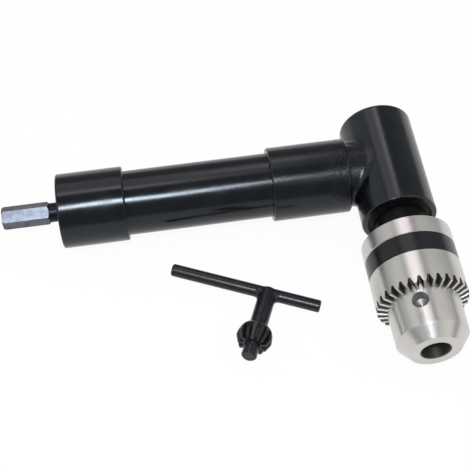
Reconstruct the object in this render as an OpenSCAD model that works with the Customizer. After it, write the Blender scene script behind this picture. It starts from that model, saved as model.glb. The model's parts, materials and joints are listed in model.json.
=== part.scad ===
// Right angle drill attachment with a keyed three-jaw chuck and its chuck key.
// It lies on its side. The origin is the centre of the free end of the hex shank, +X runs along the
// input shaft, the chuck points along -Y and +Z is up. All lengths are millimetres.

/* [Drive shank] */
// Width of the hexagon across its flats
hex_flats = 8; // [6.5:0.5:9]
// Length of the hexagon
hex_length = 18.9; // [14:0.1:30]
// Turned lead-in at both ends of the hexagon, along the shaft
hex_chamfer = 0.8; // [0.4:0.1:1.2]
// Length of round neck that shows between the hexagon and the rear collar
shank_neck = 4; // [2:0.5:10]
// Diameter of the round neck
neck_d = 7.8; // [6:0.1:7.8]
// Turn of the hexagon from having a corner straight up
hex_turn = 1; // [0:1:30]

/* [Tube housing] */
// Outside diameter of the main tube
tube_d = 26; // [25:0.5:28]
// Length of main tube that shows between the collar and the front sleeve
tube_show = 58.3; // [40:0.1:120]
// Outside diameter of the rear collar and of the front sleeve
collar_d = 30; // [29:0.5:34]
// Length of the rear collar
collar_length = 26.7; // [22:0.1:40]
// Length of the front sleeve
sleeve_length = 31.7; // [26:0.1:45]
// Rounding of the collar's and the sleeve's outer edges
edge_round = 0.8; // [0.3:0.1:1.2]
// Distance of the rolled groove from the front end of the sleeve
groove_back = 4.2; // [3:0.1:8]
// Width of the rolled groove
groove_width = 0.7; // [0.4:0.1:1.2]
// Depth of the rolled groove
groove_depth = 0.25; // [0.1:0.05:0.5]

/* [Gear head] */
// Outside diameter of the head
head_d = 30; // [29.5:0.5:36]
// Distance from the front sleeve to the spindle axis
neck_show = 16.7; // [16:0.1:30]
// Length of neck that sits inside the front sleeve
neck_spigot = 17.2; // [16:0.1:20]
// Depth of the mouth below the low bearing
mouth_depth = 3.6; // [3.4:0.1:6]
// Depth of the head above the top bearing
cap_depth = 4.8; // [3.2:0.1:6]
// Rounding of the head's closed end
head_round = 1.5; // [0.5:0.1:2.5]
// Rounding of the head's open end
mouth_round = 0.6; // [0.2:0.1:1]
// Diameter of the gear chamber
chamber_d = 24; // [23.5:0.1:25]

/* [Bevel gears] */
// Teeth on the pinion and on the gear
gear_teeth = 16; // [14:1:18]
// Module at the outer end of the teeth
gear_module = 1.25; // [1.1:0.05:1.25]
// Length of the teeth along the pitch cone
gear_face = 4.6; // [3.5:0.1:5]
// Play between the flanks, on each side of a gap
gear_play = 0.12; // [0.08:0.01:0.2]
// Metal behind the pitch circle
gear_back = 2.6; // [2:0.1:3.5]
// Diameter of both hubs
hub_d = 13.6; // [12:0.2:15]
// Length of the pinion's hub, which takes the cross pin
pinion_hub = 4.4; // [4:0.1:7]
// Length of the gear's hub
gear_hub = 1; // [0.5:0.1:3]
// Diameter of the pinion's cross pin
cross_pin_d = 2.5; // [1.5:0.1:3]
// Width and height of the gear's key
gear_key_side = 2.4; // [2:0.1:2.6]

/* [Bearings] */
// Bore of the three small bearings, and diameter of the shafts in them
small_bore = 8; // [7:0.5:8]
// Outside diameter of the small bearings
small_od = 22; // [22:0.2:22.4]
// Width of the small bearings
small_width = 7; // [6.5:0.1:7.5]
// Ball diameter of the small bearings
small_ball = 3.97; // [3.5:0.01:4.2]
// Bore of the low bearing, and diameter of the spindle in it
large_bore = 10; // [9:0.1:10]
// Outside diameter of the low bearing
large_od = 26; // [25:0.1:26.5]
// Width of the low bearing
large_width = 8; // [7:0.1:9]
// Ball diameter of the low bearing
large_ball = 4.76; // [4.2:0.01:5]
// Balls in each bearing
ball_count = 7; // [6:1:7]
// Depth of the rear bearing inside the collar
rear_recess = 3.2; // [2.8:0.1:5]

/* [Spindle] */
// Diameter of the spindle's flange
flange_d = 21.8; // [18:0.1:24]
// Length of the flange, from the mouth to the back of the chuck
flange_length = 10; // [6:0.1:16]
// Gap between the head's mouth and the flange
flange_gap = 0.8; // [0.3:0.1:2]
// Diameter of the threaded nose that holds the chuck
thread_d = 9.5; // [8:0.1:10]
// Length of the threaded nose
thread_length = 13.2; // [10:0.1:14]

/* [Chuck] */
// Outside diameter of the chuck
chuck_d = 35.5; // [35:0.1:38]
// Length of the chuck body from its nose face to its back
chuck_length = 49; // [48:0.1:56]
// Width of the bright rear ring
ring_width = 7.6; // [6:0.1:8]
// Width of the black band
band_width = 8.2; // [5:0.1:10]
// Thickness of the black band
band_thick = 0.7; // [0.4:0.05:1]
// Diameter of the nose beside the teeth
nose_d = 28.2; // [28:0.1:29]
// Diameter of the nose at the edge of its cone
nose_edge_d = 27.6; // [26:0.1:28]
// Diameter of the nose's flat face
face_d = 20; // [16:0.1:24]
// Length of the nose's cone
cone_length = 4.8; // [3:0.1:6]
// Diameter of the bore in the nose
bore_d = 10.8; // [10.6:0.1:11]
// Depth of the tool bore
bore_depth = 29; // [28:0.1:31]
// Distance of the key holes from the nose face
key_hole_back = 14.6; // [13:0.1:15]
// Diameter of the key holes
key_hole_d = 6.4; // [6.2:0.1:6.6]
// Bearing of the first key hole about the spindle, from +Z towards +X
key_hole_bearing = -16.5; // [-60:0.5:60]
// Teeth on the chuck's sleeve
ring_teeth = 31; // [29:1:33]
// Bearing of one tooth gap about the spindle, from +Z towards +X
gap_bearing = 1.1; // [-6:0.1:6]

/* [Jaws] */
// Diameter of the jaws
jaw_d = 5.5; // [5.2:0.1:5.6]
// Angle between a jaw and the spindle axis
jaw_angle = 15.5; // [15:0.1:16]
// Distance of the jaw tips behind the nose face, with the chuck fully open
jaw_tip_back = 11.3; // [10.5:0.1:12]
// Length of a jaw along its own axis
jaw_length = 32; // [31:0.1:32.4]
// Radius that the open jaws leave free
jaw_open = 5.45; // [5.4:0.01:5.5]
// Radius that the closed jaws leave free
jaw_closed = 0.55; // [0.4:0.01:0.8]

/* [Chuck key] */
// Diameter of the key's cross bar
bar_d = 5; // [4:0.1:6]
// Length of the cross bar
bar_length = 60.5; // [50:0.5:80]
// Length of bar on the long side of the shank
bar_long_side = 39.3; // [30:0.1:42]
// Diameter of the key's shank
shank_d = 7; // [6:0.1:7.4]
// Diameter of the pilot that goes into a key hole
pilot_d = 6; // [5.6:0.1:6]
// Distance from the bar to the end of the pilot
key_length = 32.1; // [28:0.1:40]
// Length of the pilot
pilot_length = 5.6; // [4:0.1:5.6]
// Teeth on the key's pinion
key_teeth = 11; // [10:1:12]
// Place of the joint of bar and shank along X
key_x = 100.9; // [80:0.1:110]
// Place of the joint of bar and shank along Y
key_y = -43.2; // [-50:0.1:-36]
// Turn of the cross bar on the table
key_turn = -22.4; // [-40:0.1:0]

/* [Hidden] */
$fn = 72;

// Shared fits
run_gap = 0.08;
ball_gap = 0.06;
overrun = 1;

// Circlips: thickness, radial width, lug size and eye, and the opening between the lugs
clip_thick = 1.1;
clip_width = 1.9;
clip_lug_r = 1.7;
clip_eye_r = 0.7;
clip_open = 40;
clip_bite = 0.5;
clip_lug_set = 0.5;
clip_land = 0.6;

// Stations along the input shaft, from the free end of the hexagon
collar_back = hex_length + shank_neck;
collar_front = collar_back + collar_length;
rear_bearing_x = collar_back + rear_recess;
rear_bearing_front = rear_bearing_x + small_width;
collar_lip = 3.8;
lip_d = 18;
tube_back = rear_bearing_front + collar_lip;
sleeve_back = collar_front + tube_show;
sleeve_front = sleeve_back + sleeve_length;
spigot_back = sleeve_front - neck_spigot;
axis_x = sleeve_front + neck_show;

// Bevel gears, seen from the point where the two axes cross
pitch_r = gear_module * gear_teeth / 2;
miter_angle = 45;
pinion_end = pitch_r + gear_back + pinion_hub;
gear_end = pitch_r + gear_back + gear_hub;
front_bearing_x = axis_x - pinion_end - small_width;
addendum_share = 1;
dedendum_share = 1.25;
pressure_angle = 20;

// Small pieces of the housing and the shafts
sleeve_lip_round = 1.1;
cap_set = 0.3;
cap_skirt = 2.4;
cap_plate = 1;
cap_dish = 0.4;
cap_dish_r = 8;
seal_set = 0.5;
seal_height = 1.7;
seal_lip = 0.8;
seal_dish = 0.4;
spacer_wall = 2;
thin_spacer_wall = 0.7;
pin_inset = 0.2;
spindle_tail = 0.6;

// Stations along the spindle, up from the input axis and down from it
top_land = 0.2;
top_bearing_y = small_od / 2 + top_land;
head_up = top_bearing_y + small_width + cap_depth;
low_bearing_y = -gear_end - large_width;
head_down = -low_bearing_y + mouth_depth;
chuck_rear_y = -head_down - flange_gap - flange_length;
nose_y = chuck_rear_y - chuck_length;
spindle_top = top_bearing_y + small_width + clip_thick + spindle_tail;

// Bearings: land of a race beside its groove as a share of the ball, shields and cage
race_land_share = 0.38;
shield_thick = 0.4;
shield_inset = 0.15;
shield_gap = 0.18;
cage_thick = 1;
cage_width_share = 0.7;

// Chuck, measured back from the nose face
band_front = chuck_length - ring_width - band_width;
ring_front = chuck_length - ring_width;
ring_gap = 0.1;
nut_wall_x = 0.45;
jaw_root_r = 0.95;
channel_gap = 0.08;
nut_length = 6;
sleeve_wall = 1.55;
sleeve_in_r = chuck_d / 2 - band_thick - sleeve_wall;
nut_gap = 0.1;
nut_split = 0.2;
groove_floor_gap = 0.7;
web_hole_r = 2.6;
edge_chamfer = 0.4;
mouth_chamfer = 0.4;
bore_land = 5.4;
bore_relief = 0.5;
drill_point = 118;
screw_head_r = 4;
screw_head_h = 2.4;
screw_r = 2.5;
screw_length = 13;
slot_width = 1;
slot_depth = 1.2;
thread_gap = 0.3;
flange_neck_d = 13.6;
thread_lead = 0.8;
taper_length = 18;
ring_bevel = 0.25;
band_inset = 0.05;
key_hole_depth = 5.5;
ring_inner_share = 0.72;

// The teeth of the chuck's sleeve and of the key share one cone point on the spindle axis
ring_pitch_r = chuck_d / 2;
ring_module = 2 * ring_pitch_r / ring_teeth;
key_pitch_r = ring_module * key_teeth / 2;
key_cone = atan2(key_teeth, ring_teeth);
ring_cone = 90 - key_cone;
crest_slope = (key_pitch_r - ring_module * addendum_share * sin(ring_cone))
    / (ring_pitch_r + ring_module * addendum_share * cos(ring_cone));
root_slope = (key_pitch_r + ring_module * dedendum_share * sin(ring_cone))
    / (ring_pitch_r - ring_module * dedendum_share * cos(ring_cone));
sleeve_step = key_hole_back + sleeve_in_r * root_slope + nut_wall_x;
nut_front = sleeve_step;
nut_back = nut_front + nut_length;

// Jaws: their travel from open to closed
jaw_travel = (jaw_open - jaw_closed) / sin(jaw_angle);
wedge_gap = 0.06;
jaw_wedge = jaw_open - jaw_closed + wedge_gap;
jaw_thread_pitch = 1.5;
jaw_thread_depth = 0.5;
jaw_thread_share = 0.7;
jaw_threads = 13;

// Chuck key, measured from its bar towards its pilot
pinion_front_gap = 0.2;
pinion_front = nose_d / 2 + pinion_front_gap;
cone_reach = key_length + pinion_front - pilot_length;
key_crest_share = 0.6;
key_tip_r = key_pitch_r + ring_module * key_crest_share * cos(key_cone);
key_tip_z = ring_pitch_r - ring_module * key_crest_share * sin(key_cone);
pinion_shoulder = 5.2;
shoulder_steps = 6;
shoulder_step = 0.6;
shoulder_r = shank_d / 2 + shoulder_step;
key_play = 0.1;
key_inner_share = 0.7;
key_outer_share = 1.35;
spigot_r = 1.6;
spigot_depth = 1.6;
bar_chamfer = 0.5;
pilot_chamfer = 0.5;
shank_past_bar = 1.2;
shank_end_chamfer = 0.5;

// The tool lies on its chuck and on the back edge of its collar, so the table leans against its shaft
lean_reach = axis_x - collar_back - edge_round;
lean_drop = collar_d / 2 - edge_round;
table_lean = asin((chuck_d / 2 - edge_round) / norm([lean_reach, lean_drop])) - atan2(lean_drop, lean_reach);

// The loose key lies on the end of its shank, on the back of its teeth and on the short end of its bar
pinion_reach = cone_reach - key_tip_z;
shank_seat = shank_past_bar - shank_end_chamfer;
teeth_seat_angle = 90 * (shoulder_steps - 1) / shoulder_steps;
teeth_seat_r = shoulder_r + (key_tip_r - shoulder_r) * sin(teeth_seat_angle);
teeth_seat = pinion_reach - pinion_shoulder * cos(teeth_seat_angle);
key_tilt = atan2(teeth_seat_r - shank_d / 2, teeth_seat + shank_seat);
key_rise = shank_d / 2 * cos(key_tilt) + shank_seat * sin(key_tilt);
bar_seat = bar_length - bar_long_side - bar_chamfer;
key_roll = -asin((key_rise - bar_d / 2) / (bar_seat * cos(key_tilt)));

// Shapes of the bevel teeth
flank_shares = [0, 0.2, 0.4, 0.6, 0.8, 1];
gap_tip_share = 1.05;
gap_reach_share = 1.6;
inner_cut_share = 0.88;
outer_cut_share = 1.15;

// Involute of an angle, in degrees
function involute(a) = tan(a) * 180 / PI - a;

// Half angle of a tooth gap at a radius of the back cone
function gap_half(r, virtual_r, virtual_teeth, play) =
    let (
        base_r = virtual_r * cos(pressure_angle),
        swing = r > base_r ? involute(acos(base_r / r)) : 0
    )
    90 / virtual_teeth + swing - involute(pressure_angle) + play / virtual_r * 180 / PI;

// Outer radius of a jaw in its channel, at a distance behind the nose face
function jaw_out(w) = jaw_root_r + w * tan(jaw_angle) + jaw_d / 2 / cos(jaw_angle);

// Sets a piece on the input shaft, with its own +Z along +X
module on_shaft(x, turn = 0) {
    translate([x, 0, 0]) rotate([0, 90, 0]) rotate([0, 0, turn]) children();
}

// Sets a piece on the spindle, with its own +Z along +Y and its own +X at a bearing from +Z towards +X
module on_spindle(y, bearing = 0) {
    translate([axis_x, y, 0]) rotate([-90, 0, 0]) rotate([0, 0, bearing - 90]) children();
}

// Sets a piece of the chuck, measured back from the nose face
module on_chuck(bearing = key_hole_bearing) {
    on_spindle(nose_y, bearing) children();
}

// Sets a piece on the table, whose surface is the piece's own XY plane
module on_table() {
    translate([axis_x, 0, 0]) rotate([0, table_lean, 0]) translate([-axis_x, 0, -chuck_d / 2]) children();
}

// Sets a piece of the chuck key, with its own +Z from the bar to the pilot
module on_key() {
    on_table() translate([key_x, key_y, key_rise]) rotate([0, 0, key_turn])
        rotate([90 - key_tilt, 0, 0]) rotate([0, 0, key_roll]) children();
}

// Tube between two radii, standing on its own XY plane
module ring(inner_r, outer_r, height) {
    rotate_extrude() translate([inner_r, 0]) square([outer_r - inner_r, height]);
}

// Solid bar whose two outer edges are rounded
module rounded_bar(radius, height, low_round, high_round) {
    rotate_extrude() difference() {
        square([radius, height]);
        translate([radius - low_round, low_round]) rotate(-90) corner(low_round);
        translate([radius - high_round, height - high_round]) corner(high_round);
    }
}

// What a rounding takes off a square corner
module corner(radius) {
    difference() {
        square(radius + overrun);
        circle(r = radius);
    }
}

// Space between two bevel teeth, whose flanks all run to the cone point at the origin
module bevel_gap(teeth, pitch_radius, cone, module_size, play, inner, outer) {
    virtual_r = pitch_radius / cos(cone);
    virtual_teeth = teeth / cos(cone);
    low = -dedendum_share * module_size;
    high = gap_tip_share * module_size;
    flank = [
        for (share = flank_shares)
            let (r = virtual_r + low + share * (high - low), a = gap_half(r, virtual_r, virtual_teeth, play))
                [r * sin(a), r * cos(a) - virtual_r]
    ];
    right = concat(flank, [[flank[len(flank) - 1][0], gap_reach_share * module_size]]);
    last = len(right) - 1;
    outline = concat(right, [for (i = [last:-1:0]) [-right[i][0], right[i][1]]]);
    count = len(outline);
    points = [
        for (scale_share = [inner, outer], p = outline)
            scale_share * [
                pitch_radius + p[1] * cos(cone), p[0], -pitch_radius / tan(cone) + p[1] * sin(cone)
            ]
    ];
    sides = [for (i = [0:count - 1]) [count + i, count + (i + 1) % count, (i + 1) % count, i]];
    near_end = [for (i = [0:last - 1]) [i, i + 1, count - 2 - i, count - 1 - i]];
    far_end = [for (i = [0:last - 1]) [2 * count - 1 - i, 2 * count - 2 - i, count + i + 1, count + i]];
    polyhedron(points, concat(near_end, far_end, sides));
}

// Points of the miter gear's blank, seen from the cone point
gear_tip = [pitch_r + gear_module * addendum_share * cos(miter_angle),
    -pitch_r + gear_module * addendum_share * sin(miter_angle)];
gear_root = [pitch_r - gear_module * dedendum_share * cos(miter_angle),
    -pitch_r - gear_module * dedendum_share * sin(miter_angle)];
gear_inner_share = 1 - gear_face * sin(miter_angle) / pitch_r;
gear_nose = gear_inner_share * gear_root[1];
back_z = -pitch_r - gear_back;

// Miter gear with its cone point at the origin and its teeth facing +Z
module miter_gear(bore, hub_length) {
    difference() {
        rotate_extrude() polygon([
            [bore / 2, gear_nose], gear_inner_share * gear_root, gear_inner_share * gear_tip,
            gear_tip, gear_root, [gear_root[0] - gear_root[1] + back_z, back_z], [hub_d / 2, back_z],
            [hub_d / 2, back_z - hub_length], [bore / 2, back_z - hub_length]
        ]);
        for (i = [0:gear_teeth - 1])
            rotate([0, 0, 360 * i / gear_teeth])
                bevel_gap(gear_teeth, pitch_r, miter_angle, gear_module, gear_play,
                    gear_inner_share * inner_cut_share, outer_cut_share);
    }
}

// Outer race of a ball bearing with its two shields
module outer_race(bore, od, width, ball) {
    pitch = (bore + od) / 4;
    land = race_land_share * ball;
    rotate_extrude() {
        difference() {
            translate([pitch + land, 0]) square([od / 2 - pitch - land, width]);
            translate([pitch, width / 2]) circle(r = ball / 2 + ball_gap);
        }
        for (z = [shield_inset, width - shield_inset - shield_thick])
            translate([pitch - land + shield_gap, z]) square([2 * land, shield_thick]);
    }
}

// Inner race of a ball bearing
module inner_race(bore, od, width, ball) {
    pitch = (bore + od) / 4;
    rotate_extrude() difference() {
        translate([bore / 2, 0]) square([pitch - race_land_share * ball - bore / 2, width]);
        translate([pitch, width / 2]) circle(r = ball / 2 + ball_gap);
    }
}

// Balls of a bearing with the cage that carries them
module balls(bore, od, width, ball) {
    pitch = (bore + od) / 4;
    cage = cage_width_share * ball;
    translate([0, 0, width / 2 - cage / 2])
        ring(pitch - cage_thick / 2, pitch + cage_thick / 2, cage);
    for (i = [0:ball_count - 1])
        rotate([0, 0, 360 * i / ball_count]) translate([pitch, 0, width / 2]) sphere(d = ball);
}

// Circlip with two eyed lugs, which stand inwards in a bore and outwards on a shaft
module circlip(inner_r, outer_r, lug_at) {
    lug_turn = clip_open / 2 + asin(clip_lug_r / lug_at);
    half_mouth = outer_r * tan(clip_open / 2);
    linear_extrude(clip_thick) difference() {
        union() {
            difference() {
                circle(r = outer_r);
                circle(r = inner_r);
                polygon([[0, 0], [outer_r, -half_mouth], [outer_r + overrun, 0], [outer_r, half_mouth]]);
            }
            for (side = [-1, 1])
                rotate(side * lug_turn) translate([lug_at, 0]) circle(r = clip_lug_r);
        }
        for (side = [-1, 1])
            rotate(side * lug_turn) translate([lug_at, 0]) circle(r = clip_eye_r);
    }
}

// Circlip in the groove of a bore
module bore_clip(bore_r) {
    circlip(bore_r - clip_width, bore_r + clip_bite, bore_r - clip_width + clip_lug_set);
}

// Circlip in the groove of a shaft
module shaft_clip(shaft_r) {
    circlip(shaft_r - clip_bite, shaft_r + clip_width, shaft_r + clip_width - clip_lug_set);
}

module rear_collar() {
    color("#1c1f22") on_shaft(collar_back) difference() {
        rounded_bar(collar_d / 2, collar_length, edge_round, edge_round);
        translate([0, 0, -overrun]) cylinder(d = small_od, h = rear_recess + small_width + overrun);
        cylinder(d = lip_d, h = collar_length);
        translate([0, 0, tube_back - collar_back]) cylinder(d = tube_d, h = collar_length);
        translate([0, 0, rear_recess - clip_thick])
            cylinder(r = small_od / 2 + clip_bite, h = clip_thick);
    }
}

module main_tube() {
    color("#1c1f22") on_shaft(tube_back) ring(small_od / 2, tube_d / 2, spigot_back - tube_back);
}

module front_sleeve() {
    color("#1c1f22") on_shaft(sleeve_back) difference() {
        rounded_bar(collar_d / 2, sleeve_length, edge_round, sleeve_lip_round);
        translate([0, 0, -overrun]) cylinder(d = tube_d, h = sleeve_length + 2 * overrun);
        translate([0, 0, sleeve_length - groove_back])
            ring(collar_d / 2 - groove_depth, collar_d / 2 + overrun, groove_width);
    }
}

module gear_head() {
    color("#1c1f22") difference() {
        union() {
            on_spindle(-head_down) rounded_bar(head_d / 2, head_down + head_up, mouth_round, head_round);
            on_shaft(spigot_back) cylinder(d = tube_d, h = axis_x - spigot_back);
        }
        on_shaft(spigot_back - overrun) cylinder(d = small_od, h = axis_x - spigot_back + overrun);
        on_spindle(-gear_end) cylinder(d = chamber_d, h = gear_end + top_bearing_y);
        on_spindle(0) cylinder(d = small_od, h = head_up + overrun);
        on_spindle(-head_down - overrun) cylinder(d = large_od, h = head_down - gear_end + overrun);
        on_spindle(low_bearing_y - clip_thick) cylinder(r = large_od / 2 + clip_bite, h = clip_thick);
    }
}

module head_cap() {
    height = cap_depth - cap_set;
    color("#1c1f22") on_spindle(top_bearing_y + small_width) rotate_extrude() polygon([
        [0, height - cap_dish], [cap_dish_r - cap_dish, height - cap_dish], [cap_dish_r, height],
        [small_od / 2, height], [small_od / 2, 0], [small_od / 2 - cap_skirt, 0],
        [small_od / 2 - cap_skirt, height - cap_plate], [0, height - cap_plate]
    ]);
}

module rear_circlip() {
    color("#3a3d40") on_shaft(rear_bearing_x - clip_thick, 90) bore_clip(small_od / 2);
}

module mouth_circlip() {
    color("#3a3d40") on_spindle(low_bearing_y - clip_thick) bore_clip(large_od / 2);
}

module spindle_seal() {
    lip_r = flange_neck_d / 2 + run_gap;
    color("#151515") on_spindle(-head_down + seal_set) rotate_extrude() polygon([
        [lip_r, 0], [lip_r + seal_lip, seal_dish], [large_od / 2 - seal_lip, seal_dish],
        [large_od / 2 - seal_lip, 0], [large_od / 2, 0], [large_od / 2, seal_height],
        [lip_r + seal_lip, seal_height], [lip_r, seal_height - seal_dish]
    ]);
}

module rear_bearing_outer() {
    color("#b9bcc0") on_shaft(rear_bearing_x) outer_race(small_bore, small_od, small_width, small_ball);
}

module front_bearing_outer() {
    color("#b9bcc0") on_shaft(front_bearing_x) outer_race(small_bore, small_od, small_width, small_ball);
}

module top_bearing_outer() {
    color("#b9bcc0") on_spindle(top_bearing_y) outer_race(small_bore, small_od, small_width, small_ball);
}

module low_bearing_outer() {
    color("#b9bcc0") on_spindle(low_bearing_y) outer_race(large_bore, large_od, large_width, large_ball);
}

module rear_bearing_inner() {
    color("#b9bcc0") on_shaft(rear_bearing_x) inner_race(small_bore, small_od, small_width, small_ball);
}

module front_bearing_inner() {
    color("#b9bcc0") on_shaft(front_bearing_x) inner_race(small_bore, small_od, small_width, small_ball);
}

module top_bearing_inner() {
    color("#b9bcc0") on_spindle(top_bearing_y) inner_race(small_bore, small_od, small_width, small_ball);
}

module low_bearing_inner() {
    color("#b9bcc0") on_spindle(low_bearing_y) inner_race(large_bore, large_od, large_width, large_ball);
}

module rear_bearing_balls() {
    color("#d8dadd") on_shaft(rear_bearing_x) balls(small_bore, small_od, small_width, small_ball);
}

module front_bearing_balls() {
    color("#d8dadd") on_shaft(front_bearing_x) balls(small_bore, small_od, small_width, small_ball);
}

module top_bearing_balls() {
    color("#d8dadd") on_spindle(top_bearing_y) balls(small_bore, small_od, small_width, small_ball);
}

module low_bearing_balls() {
    color("#d8dadd") on_spindle(low_bearing_y) balls(large_bore, large_od, large_width, large_ball);
}

// Hole or pin across the pinion's hub
module cross_pin(length) {
    on_shaft(axis_x + back_z - pinion_hub / 2, 90) rotate([0, 90, 0])
        cylinder(d = cross_pin_d, h = length, center = true);
}

module drive_shaft() {
    corner_r = hex_flats / 2 / cos(30);
    face_r = corner_r - hex_chamfer / 2;
    seat_x = rear_bearing_x - clip_thick - clip_land;
    color("#4a4d52") difference() {
        union() {
            on_shaft(0, hex_turn) intersection() {
                cylinder(r = corner_r, h = hex_length + overrun, $fn = 6);
                rotate_extrude() polygon([
                    [0, 0], [face_r, 0], [face_r + overrun, 2 * overrun],
                    [neck_d / 2 + overrun, hex_length - overrun],
                    [neck_d / 2 - overrun, hex_length + overrun], [0, hex_length + overrun]
                ]);
            }
            on_shaft(hex_length - overrun) cylinder(d = neck_d, h = seat_x - hex_length + overrun);
            on_shaft(seat_x) cylinder(d = small_bore, h = axis_x + gear_nose - seat_x);
        }
        cross_pin(hub_d);
        on_shaft(rear_bearing_x - clip_thick)
            ring(small_bore / 2 - clip_bite, small_bore / 2 + overrun, clip_thick);
    }
}

module shaft_spacer() {
    color("#8d9094") on_shaft(rear_bearing_front)
        ring(small_bore / 2, small_bore / 2 + spacer_wall, front_bearing_x - rear_bearing_front);
}

module shaft_circlip() {
    color("#3a3d40") on_shaft(rear_bearing_x - clip_thick, -90) shaft_clip(small_bore / 2);
}

module bevel_pinion() {
    color("#8d9094") difference() {
        on_shaft(axis_x, -90) miter_gear(small_bore, pinion_hub);
        cross_pin(hub_d + overrun);
    }
}

module pinion_pin() {
    color("#3a3d40") cross_pin(hub_d - 2 * pin_inset);
}

module output_spindle() {
    low = -chuck_rear_y + thread_length;
    color("#2a2c2f") difference() {
        on_spindle(0) rotate_extrude() polygon([
            [0, -low], [thread_d / 2 - thread_lead, -low], [thread_d / 2, -low + thread_lead],
            [thread_d / 2, chuck_rear_y], [flange_d / 2 - edge_chamfer, chuck_rear_y],
            [flange_d / 2, chuck_rear_y + edge_chamfer],
            [flange_d / 2, chuck_rear_y + flange_length - edge_chamfer],
            [flange_d / 2 - edge_chamfer, chuck_rear_y + flange_length],
            [flange_neck_d / 2, chuck_rear_y + flange_length], [flange_neck_d / 2, low_bearing_y],
            [large_bore / 2, low_bearing_y], [large_bore / 2, top_bearing_y],
            [small_bore / 2, top_bearing_y], [small_bore / 2, spindle_top], [0, spindle_top]
        ]);
        key_slot();
        on_spindle(top_bearing_y + small_width)
            ring(small_bore / 2 - clip_bite, small_bore / 2 + overrun, clip_thick);
        on_chuck() cylinder(r = screw_r, h = bore_depth + screw_length);
    }
}

// Key between the spindle and the gear
module key_slot() {
    on_spindle(-gear_end, 0) translate([large_bore / 2 - gear_key_side / 2, -gear_key_side / 2, 0])
        cube([gear_key_side, gear_key_side, gear_end + gear_nose]);
}

module gear_key() {
    color("#3a3d40") key_slot();
}

module bevel_gear() {
    color("#8d9094") difference() {
        on_spindle(0, -90 + 180 / gear_teeth) miter_gear(large_bore, gear_hub);
        key_slot();
    }
}

module spindle_spacer() {
    color("#8d9094") on_spindle(gear_nose)
        ring(large_bore / 2, large_bore / 2 + thin_spacer_wall, top_bearing_y - gear_nose);
}

module spindle_circlip() {
    color("#3a3d40") on_spindle(top_bearing_y + small_width, 0) shaft_clip(small_bore / 2);
}

module chuck_body() {
    body_r = sleeve_in_r - run_gap;
    floor_r = jaw_out(nut_front) - groove_floor_gap;
    thread_floor = chuck_length - thread_length - thread_gap;
    rear_edge = chuck_length - edge_chamfer;
    ring_face = ring_front + ring_gap;
    color("#c9c9c6") on_chuck() difference() {
        rotate_extrude() polygon([
            [0, 0], [face_d / 2, 0], [nose_edge_d / 2, cone_length], [nose_d / 2, taper_length],
            [nose_d / 2, nut_front - run_gap], [floor_r, nut_front - run_gap],
            [floor_r, nut_back + run_gap], [body_r, nut_back + run_gap], [body_r, ring_face],
            [chuck_d / 2 - ring_bevel, ring_face], [chuck_d / 2, ring_face + ring_bevel],
            [chuck_d / 2, rear_edge], [chuck_d / 2 - edge_chamfer, chuck_length], [0, chuck_length]
        ]);
        translate([0, 0, -overrun]) cylinder(d = bore_d, h = bore_depth + overrun);
        translate([0, 0, bore_land]) cylinder(r = bore_d / 2 + bore_relief, h = bore_depth - bore_land);
        translate([0, 0, -mouth_chamfer])
            cylinder(d1 = bore_d + 4 * mouth_chamfer, d2 = bore_d, h = 2 * mouth_chamfer);
        cylinder(r = web_hole_r, h = chuck_length);
        translate([0, 0, thread_floor]) cylinder(d = thread_d, h = chuck_length);
        for (i = [0:2])
            rotate([0, 0, 120 * i]) key_hole();
        for (i = [0:2])
            rotate([0, 0, 60 + 120 * i]) jaw_rod(jaw_d / 2 + channel_gap, channel_gap * 4);
    }
}

// Blind hole that takes the key's pilot, along its own +X
module key_hole() {
    floor_r = nose_d / 2 - key_hole_depth;
    point = key_hole_d / 2 / tan(drill_point / 2);
    translate([0, 0, key_hole_back]) rotate([0, 90, 0]) {
        translate([0, 0, floor_r]) cylinder(d = key_hole_d, h = key_hole_depth + overrun);
        translate([0, 0, floor_r - point]) cylinder(d1 = 0, d2 = key_hole_d, h = point);
    }
}

// Round bar along a jaw's slanting axis, from the nose face to past the jaw's rear end
module jaw_rod(radius, extra) {
    translate([jaw_root_r, 0, 0]) rotate([0, jaw_angle, 0])
        cylinder(r = radius, h = jaw_tip_back / cos(jaw_angle) + jaw_length + extra);
}

module chuck_screw() {
    color("#6b6e72") on_chuck() difference() {
        union() {
            translate([0, 0, bore_depth - screw_head_h]) cylinder(r = screw_head_r, h = screw_head_h);
            translate([0, 0, bore_depth]) cylinder(r = screw_r, h = screw_length);
        }
        translate([-screw_head_r, -slot_width / 2, bore_depth - screw_head_h - overrun])
            cube([2 * screw_head_r, slot_width, slot_depth + overrun]);
    }
}

module chuck_sleeve() {
    lip_r = nose_d / 2 + run_gap;
    outer_r = chuck_d / 2;
    color("#cfcfcc") on_chuck(gap_bearing) difference() {
        rotate_extrude() polygon([
            [lip_r, key_hole_back + lip_r * crest_slope], [outer_r, key_hole_back + outer_r * crest_slope],
            [outer_r, band_front], [outer_r - band_thick, band_front],
            [outer_r - band_thick, ring_front], [sleeve_in_r, ring_front],
            [sleeve_in_r, sleeve_step], [lip_r, sleeve_step]
        ]);
        for (i = [0:ring_teeth - 1])
            rotate([0, 0, 360 * i / ring_teeth]) translate([0, 0, key_hole_back]) rotate([180, 0, 0])
                bevel_gap(ring_teeth, ring_pitch_r, ring_cone, ring_module, 0,
                    ring_inner_share, outer_cut_share);
    }
}

module sleeve_band() {
    color("#2a2c2f") on_chuck() translate([0, 0, band_front])
        ring(chuck_d / 2 - band_thick, chuck_d / 2 - band_inset, band_width);
}

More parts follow.
